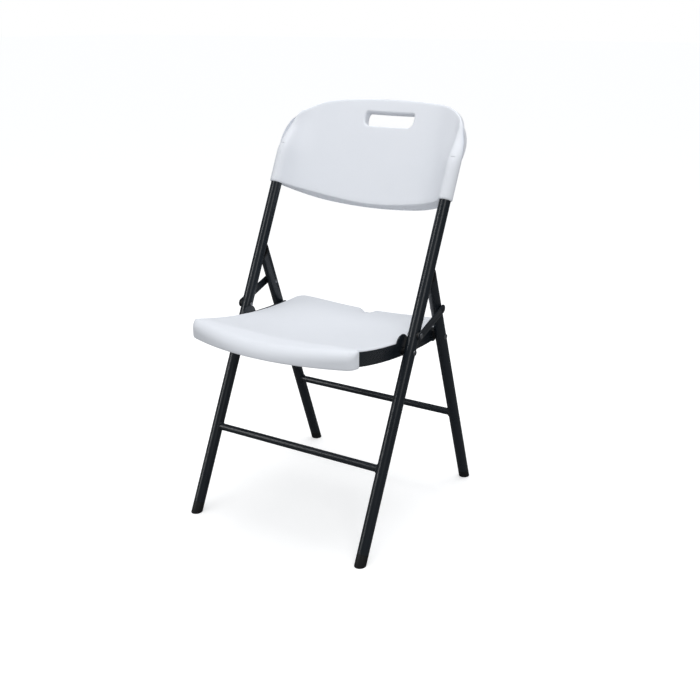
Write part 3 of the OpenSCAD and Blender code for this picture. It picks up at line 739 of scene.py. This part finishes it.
def rivetTree():
    tree = Tree("formed rivet", ["Head Radius", "Head Height", "Head Flange", "End Radius", "End Height",
                                 "End Flange", "Shank Radius", "Shank Length"])
    head = domeShape(tree, tree.size("Head Radius"), tree.size("Head Height"), tree.size("Head Flange"))
    end = domeShape(tree, tree.size("End Radius"), tree.size("End Height"), tree.size("End Flange"))
    length = tree.size("Shank Length")
    below = tree.vector(0.0, 0.0, tree.math("MULTIPLY", length, -1.0))
    end = tree.add("GeometryNodeTransform", {"Geometry": end, "Translation": below,
                                             "Rotation": (math.pi, 0, 0)})
    shank = tree.add("GeometryNodeMeshCylinder", {"Vertices": 32, "Radius": tree.size("Shank Radius"),
                                                  "Depth": length})
    middle = tree.vector(0.0, 0.0, tree.math("MULTIPLY", length, -0.5))
    shank = tree.add("GeometryNodeTransform", {"Geometry": shank, "Translation": middle})
    whole = tree.add("GeometryNodeJoinGeometry", {0: [head, end, shank]})
    return tree.end(onPoints(tree, whole))


def screwTree():
    tree = Tree("cross recess screw", ["Head Radius", "Head Height", "Recess Width", "Recess Length",
                                       "Recess Depth", "Shank Radius", "Shank Length"])
    height = tree.size("Head Height")
    flange = tree.math("MULTIPLY", height, 0.35)
    head = domeShape(tree, tree.size("Head Radius"), tree.math("MULTIPLY", height, 0.65), flange)
    depth = tree.math("MULTIPLY", tree.size("Recess Depth"), 2.0)
    slots = []
    for a, b in (("Recess Width", "Recess Length"), ("Recess Length", "Recess Width")):
        bar = tree.add("GeometryNodeMeshCube", {"Size": tree.vector(tree.size(a), tree.size(b), depth)})
        slots.append(tree.add("GeometryNodeTransform", {"Geometry": bar,
                                                        "Translation": tree.vector(0.0, 0.0, height)}))
    head = tree.add("GeometryNodeMeshBoolean", {"Mesh 1": head, "Mesh 2": slots}, operation="DIFFERENCE",
                    solver="EXACT")
    length = tree.size("Shank Length")
    shank = tree.add("GeometryNodeMeshCylinder", {"Vertices": 24, "Radius": tree.size("Shank Radius"),
                                                  "Depth": length})
    middle = tree.vector(0.0, 0.0, tree.math("MULTIPLY", length, -0.5))
    shank = tree.add("GeometryNodeTransform", {"Geometry": shank, "Translation": middle})
    return tree.end(onPoints(tree, tree.add("GeometryNodeJoinGeometry", {0: [head, shank]})))


def weldTree():
    # a bead along each loop of edges, with the ripples that the torch leaves
    tree = Tree("rippled weld", ["Bead Radius", "Ripple", "Ripples"])
    line = tree.add("GeometryNodeMeshToCurve", {"Mesh": tree.inside.outputs["Geometry"]})
    along = tree.add("GeometryNodeSplineParameter")
    wave = tree.math("SINE", tree.math("MULTIPLY", tree.math("MULTIPLY", along, tree.size("Ripples")),
                                       2 * math.pi))
    swell = tree.math("MULTIPLY_ADD", wave, tree.size("Ripple"), 1.0)
    line = tree.add("GeometryNodeSetCurveRadius", {"Curve": line, "Radius": swell})
    ring = tree.add("GeometryNodeCurvePrimitiveCircle",
                    {"Resolution": 12, "Radius": tree.size("Bead Radius")})
    bead = tree.group.nodes.new("GeometryNodeCurveToMesh")
    tree.group.links.new(line, bead.inputs["Curve"])
    tree.group.links.new(ring, bead.inputs["Profile Curve"])
    bead.inputs["Fill Caps"].default_value = True
    if "Scale" in bead.inputs:
        tree.group.links.new(tree.add("GeometryNodeInputRadius"), bead.inputs["Scale"])
    return tree.end(bead.outputs[0])


def carrier(name, points, edges=(), turns=None):
    mesh = bpy.data.meshes.new(name)
    mesh.from_pydata([tuple(p) for p in points], list(edges), [])
    if turns:
        marks = mesh.attributes.new("turn", "FLOAT_VECTOR", "POINT")
        for i, turn in enumerate(turns):
            marks.data[i].vector = turn
    piece = bpy.data.objects.new(name, mesh)
    bpy.context.scene.collection.objects.link(piece)
    return piece


def grow(piece, group, sizes, paint):
    # runs a tree on a piece and leaves a plain mesh
    m = piece.modifiers.new("shape", "NODES")
    m.node_group = group
    for item in group.interface.items_tree:
        if item.in_out == "INPUT" and item.name in sizes:
            m[item.identifier] = sizes[item.name]
        elif item.in_out == "INPUT" and item.name == "Material":
            m[item.identifier] = paint
    piece.update_tag()
    applyModifiers(piece)
    bm = bmesh.new()
    bm.from_mesh(piece.data)
    bmesh.ops.recalc_face_normals(bm, faces=bm.faces)
    bm.to_mesh(piece.data)
    bm.free()
    shade(piece, 38)


# shared effects, built once and placed in each material with its own values
def shaderGroup(name, inputs, outputs):
    group = bpy.data.node_groups.new(name, "ShaderNodeTree")
    group.interface.new_socket("Vector", in_out="INPUT", socket_type="NodeSocketVector")
    for label, value in inputs.items():
        socket = group.interface.new_socket(label, in_out="INPUT", socket_type="NodeSocketFloat")
        socket.default_value = value
    for label in outputs:
        group.interface.new_socket(label, in_out="OUTPUT", socket_type="NodeSocketFloat")
    return group, group.nodes.new("NodeGroupInput"), group.nodes.new("NodeGroupOutput")


def noise(group, vector, scale, detail=2.0, rough=0.5):
    node = group.nodes.new("ShaderNodeTexNoise")
    node.inputs["Detail"].default_value = detail
    node.inputs["Roughness"].default_value = rough
    group.links.new(vector, node.inputs["Vector"])
    if isinstance(scale, (int, float)):
        node.inputs["Scale"].default_value = scale
    else:
        group.links.new(scale, node.inputs["Scale"])
    return node.outputs["Fac"]


def sums(group, operation, a, b):
    node = group.nodes.new("ShaderNodeMath")
    node.operation = operation
    for k, value in enumerate((a, b)):
        if isinstance(value, (int, float)):
            node.inputs[k].default_value = value
        else:
            group.links.new(value, node.inputs[k])
    return node.outputs[0]


def ramp(group, value, low, high, outLow=0.0, outHigh=1.0):
    node = group.nodes.new("ShaderNodeMapRange")
    node.inputs["From Min"].default_value = low
    node.inputs["From Max"].default_value = high
    node.inputs["To Min"].default_value = outLow
    node.inputs["To Max"].default_value = outHigh
    group.links.new(value, node.inputs["Value"])
    return node.outputs["Result"]


def grainGroup():
    # fine surface grain over slow waves, as a moulded or sprayed skin has
    group, inside, outside = shaderGroup("surface grain", {"Grain Scale": 1400.0, "Wave Scale": 45.0,
                                                           "Wave Share": 0.5}, ["Height", "Fleck"])
    v = inside.outputs["Vector"]
    fine = noise(group, v, inside.outputs["Grain Scale"], 3.0, 0.6)
    wave = noise(group, v, inside.outputs["Wave Scale"], 1.0)
    height = sums(group, "ADD", fine, sums(group, "MULTIPLY", wave, inside.outputs["Wave Share"]))
    group.links.new(height, outside.inputs["Height"])
    group.links.new(ramp(group, fine, 0.35, 0.65), outside.inputs["Fleck"])
    return group


def handlingGroup():
    # broad smudges and a few thin rubbed marks
    group, inside, outside = shaderGroup("handling marks", {"Smudge Scale": 9.0, "Mark Scale": 60.0},
                                         ["Smudge", "Mark"])
    v = inside.outputs["Vector"]
    broad = noise(group, v, inside.outputs["Smudge Scale"], 4.0, 0.55)
    stretch = group.nodes.new("ShaderNodeMapping")
    stretch.inputs["Scale"].default_value = (1.0, 6.0, 0.5)
    stretch.inputs["Rotation"].default_value = (0.4, 0.7, 0.3)
    group.links.new(v, stretch.inputs["Vector"])
    thin = noise(group, stretch.outputs["Vector"], inside.outputs["Mark Scale"], 5.0, 0.7)
    group.links.new(ramp(group, broad, 0.35, 0.68), outside.inputs["Smudge"])
    group.links.new(ramp(group, thin, 0.66, 0.74), outside.inputs["Mark"])
    return group


grain, handling = grainGroup(), handlingGroup()


def finish(name, look):
    # one material from a dictionary of its look
    m = bpy.data.materials.new(name)
    m.use_nodes = True
    tree = m.node_tree
    bsdf = tree.nodes["Principled BSDF"]
    place = tree.nodes.new("ShaderNodeTexCoord").outputs["Object"]
    skin, marks = tree.nodes.new("ShaderNodeGroup"), tree.nodes.new("ShaderNodeGroup")
    skin.node_tree, marks.node_tree = grain, handling
    for node, keys in ((skin, ("Grain Scale", "Wave Scale", "Wave Share")),
                       (marks, ("Smudge Scale", "Mark Scale"))):
        tree.links.new(place, node.inputs["Vector"])
        for key in keys:
            if key in look:
                node.inputs[key].default_value = look[key]
    tint = tree.nodes.new("ShaderNodeMix")
    tint.data_type = "RGBA"
    tint.inputs["A"].default_value = (*look["color"], 1)
    tint.inputs["B"].default_value = (*look["smudgeColor"], 1)
    smudged = sums(tree, "MULTIPLY", marks.outputs["Smudge"], look["smudge"])
    tree.links.new(smudged, tint.inputs["Factor"])
    worn = tree.nodes.new("ShaderNodeMix")
    worn.data_type = "RGBA"
    worn.inputs["B"].default_value = (*look["markColor"], 1)
    tree.links.new(tint.outputs["Result"], worn.inputs["A"])
    tree.links.new(sums(tree, "MULTIPLY", marks.outputs["Mark"], look["mark"]), worn.inputs["Factor"])
    tree.links.new(worn.outputs["Result"], bsdf.inputs["Base Color"])
    rough = sums(tree, "MULTIPLY", marks.outputs["Smudge"], look["roughSpread"])
    flecked = sums(tree, "MULTIPLY", skin.outputs["Fleck"], look["roughSpread"] / 2)
    rough = sums(tree, "ADD", rough, flecked)
    tree.links.new(sums(tree, "ADD", rough, look["rough"]), bsdf.inputs["Roughness"])
    bump = tree.nodes.new("ShaderNodeBump")
    bump.inputs["Strength"].default_value = look["bump"]
    bump.inputs["Distance"].default_value = look["bumpDepth"]
    tree.links.new(skin.outputs["Height"], bump.inputs["Height"])
    tree.links.new(bump.outputs["Normal"], bsdf.inputs["Normal"])
    bsdf.inputs["Metallic"].default_value = look.get("metal", 0.0)
    bsdf.inputs["Specular IOR Level"].default_value = look.get("specular", 0.5)
    return m


whitePlastic = finish("whitePlastic", {
    "color": (0.780, 0.803, 0.850), "smudgeColor": (0.765, 0.790, 0.838), "smudge": 0.6,
    "markColor": (0.74, 0.76, 0.80), "mark": 0.12, "rough": 0.46, "roughSpread": 0.08,
    "Grain Scale": 1500.0, "Wave Scale": 38.0, "Wave Share": 0.6, "bump": 0.22, "bumpDepth": 0.0004,
    "specular": 0.35})
powderCoat = finish("powderCoat", {
    "color": (0.0095, 0.0132, 0.0180), "smudgeColor": (0.0112, 0.0152, 0.0205), "smudge": 0.7,
    "markColor": (0.030, 0.034, 0.040), "mark": 0.35, "rough": 0.25, "roughSpread": 0.07,
    "Grain Scale": 1100.0, "Wave Scale": 160.0, "Wave Share": 0.8, "bump": 0.25, "bumpDepth": 0.0003,
    "specular": 0.45})
blackPlastic = finish("blackPlastic", {
    "color": (0.008, 0.0085, 0.0095), "smudgeColor": (0.013, 0.0135, 0.014), "smudge": 0.8,
    "markColor": (0.035, 0.035, 0.035), "mark": 0.5, "rough": 0.48, "roughSpread": 0.12,
    "Grain Scale": 900.0, "Wave Scale": 120.0, "Wave Share": 0.4, "bump": 0.35, "bumpDepth": 0.0004,
    "specular": 0.35})
platedSteel = finish("platedSteel", {
    "color": (0.36, 0.37, 0.39), "smudgeColor": (0.25, 0.255, 0.27), "smudge": 0.8,
    "markColor": (0.50, 0.50, 0.50), "mark": 0.4, "rough": 0.34, "roughSpread": 0.12, "metal": 1.0,
    "Smudge Scale": 60.0, "Grain Scale": 2400.0, "Wave Scale": 500.0, "bump": 0.2, "bumpDepth": 0.0002})
blackRivet = finish("blackRivet", {
    "color": (0.010, 0.012, 0.015), "smudgeColor": (0.016, 0.018, 0.021), "smudge": 0.7,
    "markColor": (0.12, 0.12, 0.125), "mark": 0.5, "rough": 0.28, "roughSpread": 0.1,
    "Smudge Scale": 50.0, "Grain Scale": 1500.0, "Wave Scale": 300.0, "bump": 0.2, "bumpDepth": 0.0002})
finishes = {"white_plastic": whitePlastic, "powder_coat": powderCoat, "black_plastic": blackPlastic,
            "plated_steel": platedSteel, "black_rivet": blackRivet}
print("finishes made")

# camera, floor and light
stage = {
    "place": (1.1302, -1.4966, 1.0768),   # y is from the front tubes' feet
    "azimuth": 32.02,
    "elevation": 19.07,
    "floorHalf": 40.0,
    "floorGlow": 0.42,                    # seen by the camera only
    "floorGlossy": 0.8,                   # how much darker reflections see the floor
    "floorBounce": 0.45,                  # how much darker the floor's bounce is
    "skyDiffuse": 0.72,
    "skyGlossy": 0.11,
    # name, place, size, power, and whether it lights matt surfaces
    "lamps": (("keyLight", (2.3, -2.0, 2.3), (0.9, 1.8), 15, True),
              ("sideLight", (-1.7, -1.9, 1.5), (0.4, 2.2), 22, False),
              ("topLight", (0.0, 0.1, 3.0), (1.8, 1.8), 29, True)),
}


def makeStage():
    s = stage
    camera = bpy.data.objects.new("camera", bpy.data.cameras.new("camera"))
    bpy.context.scene.collection.objects.link(camera)
    camera.data.lens, camera.data.sensor_width = 50, 36
    x, y, z = s["place"]
    camera.location = (x, floorY + y, z)
    camera.rotation_euler = (math.pi / 2 - math.radians(s["elevation"]), 0, math.radians(s["azimuth"]))
    camera.data.clip_end = 200
    bpy.context.scene.camera = camera
    bpy.context.scene.view_settings.view_transform = "Standard"

    world = bpy.data.worlds.new("studio")
    bpy.context.scene.world = world
    world.use_nodes = True
    tree = world.node_tree
    path = tree.nodes.new("ShaderNodeLightPath")

    def sky(strength, color):
        node = tree.nodes.new("ShaderNodeBackground")
        node.inputs["Color"].default_value = (*color, 1)
        node.inputs["Strength"].default_value = strength
        return node.outputs["Background"]

    def choose(test, no, yes):
        node = tree.nodes.new("ShaderNodeMixShader")
        tree.links.new(path.outputs[test], node.inputs["Fac"])
        tree.links.new(no, node.inputs[1])
        tree.links.new(yes, node.inputs[2])
        return node.outputs["Shader"]

    around = choose("Is Glossy Ray", sky(s["skyDiffuse"], (0.97, 0.985, 1.0)),
                    sky(s["skyGlossy"], (0.86, 0.95, 1.0)))
    around = choose("Is Camera Ray", around, sky(1.0, (1, 1, 1)))
    tree.links.new(around, tree.nodes["World Output"].inputs["Surface"])

    half = s["floorHalf"]
    floor = block("floor", (-half, -half, -0.02), (half, half, 0))
    paint = bpy.data.materials.new("paleFloor")
    paint.use_nodes = True
    tree = paint.node_tree
    bsdf = tree.nodes["Principled BSDF"]
    speck = noise(tree, tree.nodes.new("ShaderNodeTexCoord").outputs["Object"], 900.0)
    lit = tree.nodes.new("ShaderNodeLightPath")
    dull = 1.0
    for ray, loss in (("Is Glossy Ray", s["floorGlossy"]), ("Is Diffuse Ray", s["floorBounce"])):
        dull = sums(tree, "SUBTRACT", dull, sums(tree, "MULTIPLY", lit.outputs[ray], loss))
    shadeOf = sums(tree, "MULTIPLY", ramp(tree, speck, 0.3, 0.7, 0.80, 0.82), dull)
    tree.links.new(shadeOf, bsdf.inputs["Base Color"])
    bsdf.inputs["Roughness"].default_value = 1.0
    bsdf.inputs["Specular IOR Level"].default_value = 0.0
    bsdf.inputs["Emission Color"].default_value = (1, 1, 1, 1)
    tree.links.new(sums(tree, "MULTIPLY", lit.outputs["Is Camera Ray"], s["floorGlow"]),
                   bsdf.inputs["Emission Strength"])
    floor.data.materials.append(paint)
    floor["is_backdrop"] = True

    def softbox(name, place, target, size, power, onMatt):
        lamp = bpy.data.lights.new(name, "AREA")
        lamp.shape, lamp.size, lamp.size_y, lamp.energy = "RECTANGLE", size[0], size[1], power
        holder = bpy.data.objects.new(name, lamp)
        bpy.context.scene.collection.objects.link(holder)
        holder.location = place
        holder.rotation_euler = (Vector(target) - Vector(place)).to_track_quat("-Z", "Y").to_euler()
        holder.visible_diffuse = onMatt

    for name, place, size, power, onMatt in s["lamps"]:
        softbox(name, place, (0, 0, 0.5), size, power, onMatt)


makeStage()
print("camera and light set")


# pieces round the frame
def settle(piece, body, replaced, slot):
    piece.data.materials.clear()
    piece.data.materials.append(finishes[slot])
    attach(piece, body)
    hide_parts(replaced)


settle(backrestShell, "front_frame", "backrest_panel", "white_plastic")
settle(seatShell, "seat", "seat_pan", "white_plastic")

for side in ("left", "right"):
    for name, body in ((side + "_front_foot", "front_frame"), (side + "_rear_foot", "rear_frame"),
                       (side + "_stop_cap", "rear_frame")):
        settle(polished(name, name + "_moulding", polish["caps"]), body, name, "black_plastic")
    rail, link, stud = side + "_seat_rail", side + "_link", side + "_link_stud"
    settle(polished(rail, side + "_rail_bar", polish["bars"]), "seat", rail, "powder_coat")
    settle(polished(link, side + "_link_bar", polish["bars"]), link, link, "powder_coat")
    settle(polished(stud, side + "_link_stud_head", polish["studs"], 2), link, stud, "black_rivet")
print("bars and caps polished")

# rivets: a head and a formed end are each a radius, a dome's height and a flange below it
tubeRivet = {"head": (0.0060, 0.0014, 0.0020), "end": (0.0055, 0.0013, 0.0012)}
linkRivet = {"head": (0.0060, 0.0026, 0.0004), "end": (0.0045, 0.0010, 0.0012)}
stubRivet = {"head": (0.0030, 0.0003, 0.0002), "end": (0.0045, 0.0010, 0.0012)}
rivets = {
    "seat_pivot_rivets": ("front_frame", seatPivot, tubeRivet),
    "rail_pivot_rivets": ("rear_frame", railPivot, tubeRivet),
    "link_pivot_rivets": ("front_frame", linkPivot, linkRivet),
    "link_end_rivets": ("rear_frame", linkEnd, stubRivet),
}
shankRadius = 0.003


def xRange(name):
    # the outermost and innermost places of the right-hand half of a pair
    mesh = nodes[name].data
    xs = [v.co.x for v in mesh.vertices if v.co.x > 0]
    return min(xs), max(xs)


rivetGroup = rivetTree()
for name, (body, pivot, rivet) in rivets.items():
    headRadius, headHeight, headFlange = rivet["head"]
    endRadius, endHeight, endFlange = rivet["end"]
    inner, outer = xRange(name)
    headBase = outer - headHeight - headFlange
    endBase = inner + endHeight + endFlange
    points = [(side * headBase, pivot.y, pivot.z) for side in (-1, 1)]
    turns = [(0, side * math.pi / 2, 0) for side in (-1, 1)]
    piece = carrier(name + "_formed", points, turns=turns)
    grow(piece, rivetGroup, {
        "Head Radius": headRadius, "Head Height": headHeight, "Head Flange": headFlange,
        "End Radius": endRadius, "End Height": endHeight, "End Flange": endFlange,
        "Shank Radius": shankRadius, "Shank Length": headBase - endBase}, platedSteel)
    settle(piece, body, name, "plated_steel")

screws = {
    "head": {"Head Radius": 0.0044, "Head Height": 0.0020, "Recess Width": 0.0009,
             "Recess Length": 0.0046, "Recess Depth": 0.0010, "Shank Radius": 0.002},
    "backShank": 0.007,
    "seatShank": 0.020,
    "seatAcross": 0.120,      # from the middle of the chair
    "seatSink": 0.0002,
}
screwGroup = screwTree()
points, turns = [], []
for side in (-1, 1):
    for s in backrest["screwPlaces"]:
        spot = fromTubePlane(np.array([side * track]), np.array([backrest["screwSeat"]]), np.array([s]))
        points.append(tuple(spot[0]))
        turns.append((-math.pi / 2 - lean, 0, 0))
piece = carrier("backrest_screw_heads", points, turns=turns)
grow(piece, screwGroup, dict(screws["head"], **{"Shank Length": screws["backShank"]}), platedSteel)
settle(piece, "front_frame", "backrest_screws", "plated_steel")

points, turns = [], []
for name in ("front_cross_tube", "rear_cross_tube"):
    low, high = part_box(name)
    for side in (-1, 1):
        points.append((side * screws["seatAcross"], (low.y + high.y) / 2, low.z + screws["seatSink"]))
        turns.append((math.pi, 0, 0))
piece = carrier("seat_screw_heads", points, turns=turns)
grow(piece, screwGroup, dict(screws["head"], **{"Shank Length": screws["seatShank"]}), platedSteel)
settle(piece, "seat", "seat_screws", "plated_steel")
print("rivets and screws set")


welds = {
    "braceBead": 0.0019,
    "braceStandOff": 0.0004,  # from the brace's surface to the bead's middle
    "braceRipples": 14.0,
    "loopPoints": 72,
    "crossBead": 0.0016,
    "crossStandOff": 0.0003,
    "crossRipples": 7.0,
    "crossPoints": 40,
    "crossArc": (200, 340),   # the lower side of a cross tube
    "ripple": 0.14,
}


def weldLoop(spot, radius, axis, side):
    # where a brace of the given radius meets the tube whose direction is axis
    across = Vector((0, -axis.z, axis.y))
    points = []
    for a in np.radians(np.linspace(0, 360, welds["loopPoints"], endpoint=False)):
        out = across * (radius * math.sin(a)) + axis * (radius * math.cos(a))
        reach = track - math.sqrt(backrest["tubeRadius"] ** 2 - (radius * math.sin(a)) ** 2)
        points.append((side * reach, spot.y + out.y, spot.z + out.z))
    return points


weldGroup = weldTree()
for name, body, way in (("front_brace", "front_frame", lean), ("rear_brace", "rear_frame", -rearLean)):
    low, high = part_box(name)
    spot, radius = (low + high) / 2, (high.z - low.z) / 2 + welds["braceStandOff"]
    axis = Vector((0, math.sin(way), math.cos(way)))
    points, edges = [], []
    count = welds["loopPoints"]
    for side in (-1, 1):
        first = len(points)
        points += weldLoop(spot, radius, axis, side)
        edges += [(first + k, first + (k + 1) % count) for k in range(count)]
    piece = carrier(name + "_weld_beads", points, edges)
    grow(piece, weldGroup, {"Bead Radius": welds["braceBead"], "Ripple": welds["ripple"],
                            "Ripples": welds["braceRipples"]}, powderCoat)
    settle(piece, body, name + "_welds", "powder_coat")

points, edges = [], []
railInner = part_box("right_seat_rail")[0].x
for name in ("front_cross_tube", "rear_cross_tube"):
    low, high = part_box(name)
    spot, radius = (low + high) / 2, (high.z - low.z) / 2 + welds["crossStandOff"]
    for side in (-1, 1):
        first = len(points)
        for a in np.radians(np.linspace(*welds["crossArc"], welds["crossPoints"])):
            points.append((side * railInner, spot.y + radius * math.cos(a), spot.z + radius * math.sin(a)))
        edges += [(first + k, first + k + 1) for k in range(welds["crossPoints"] - 1)]
piece = carrier("cross_tube_weld_beads", points, edges)
grow(piece, weldGroup, {"Bead Radius": welds["crossBead"], "Ripple": welds["ripple"],
                        "Ripples": welds["crossRipples"]}, powderCoat)
settle(piece, "seat", "cross_tube_welds", "powder_coat")
print("welds set")

slots = {part["node"]: part["material_slot"] for part in frame["record"]["subparts"]}
for name, node in nodes.items():
    node.data.materials.clear()
    node.data.materials.append(finishes[slots[name]])

low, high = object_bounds()
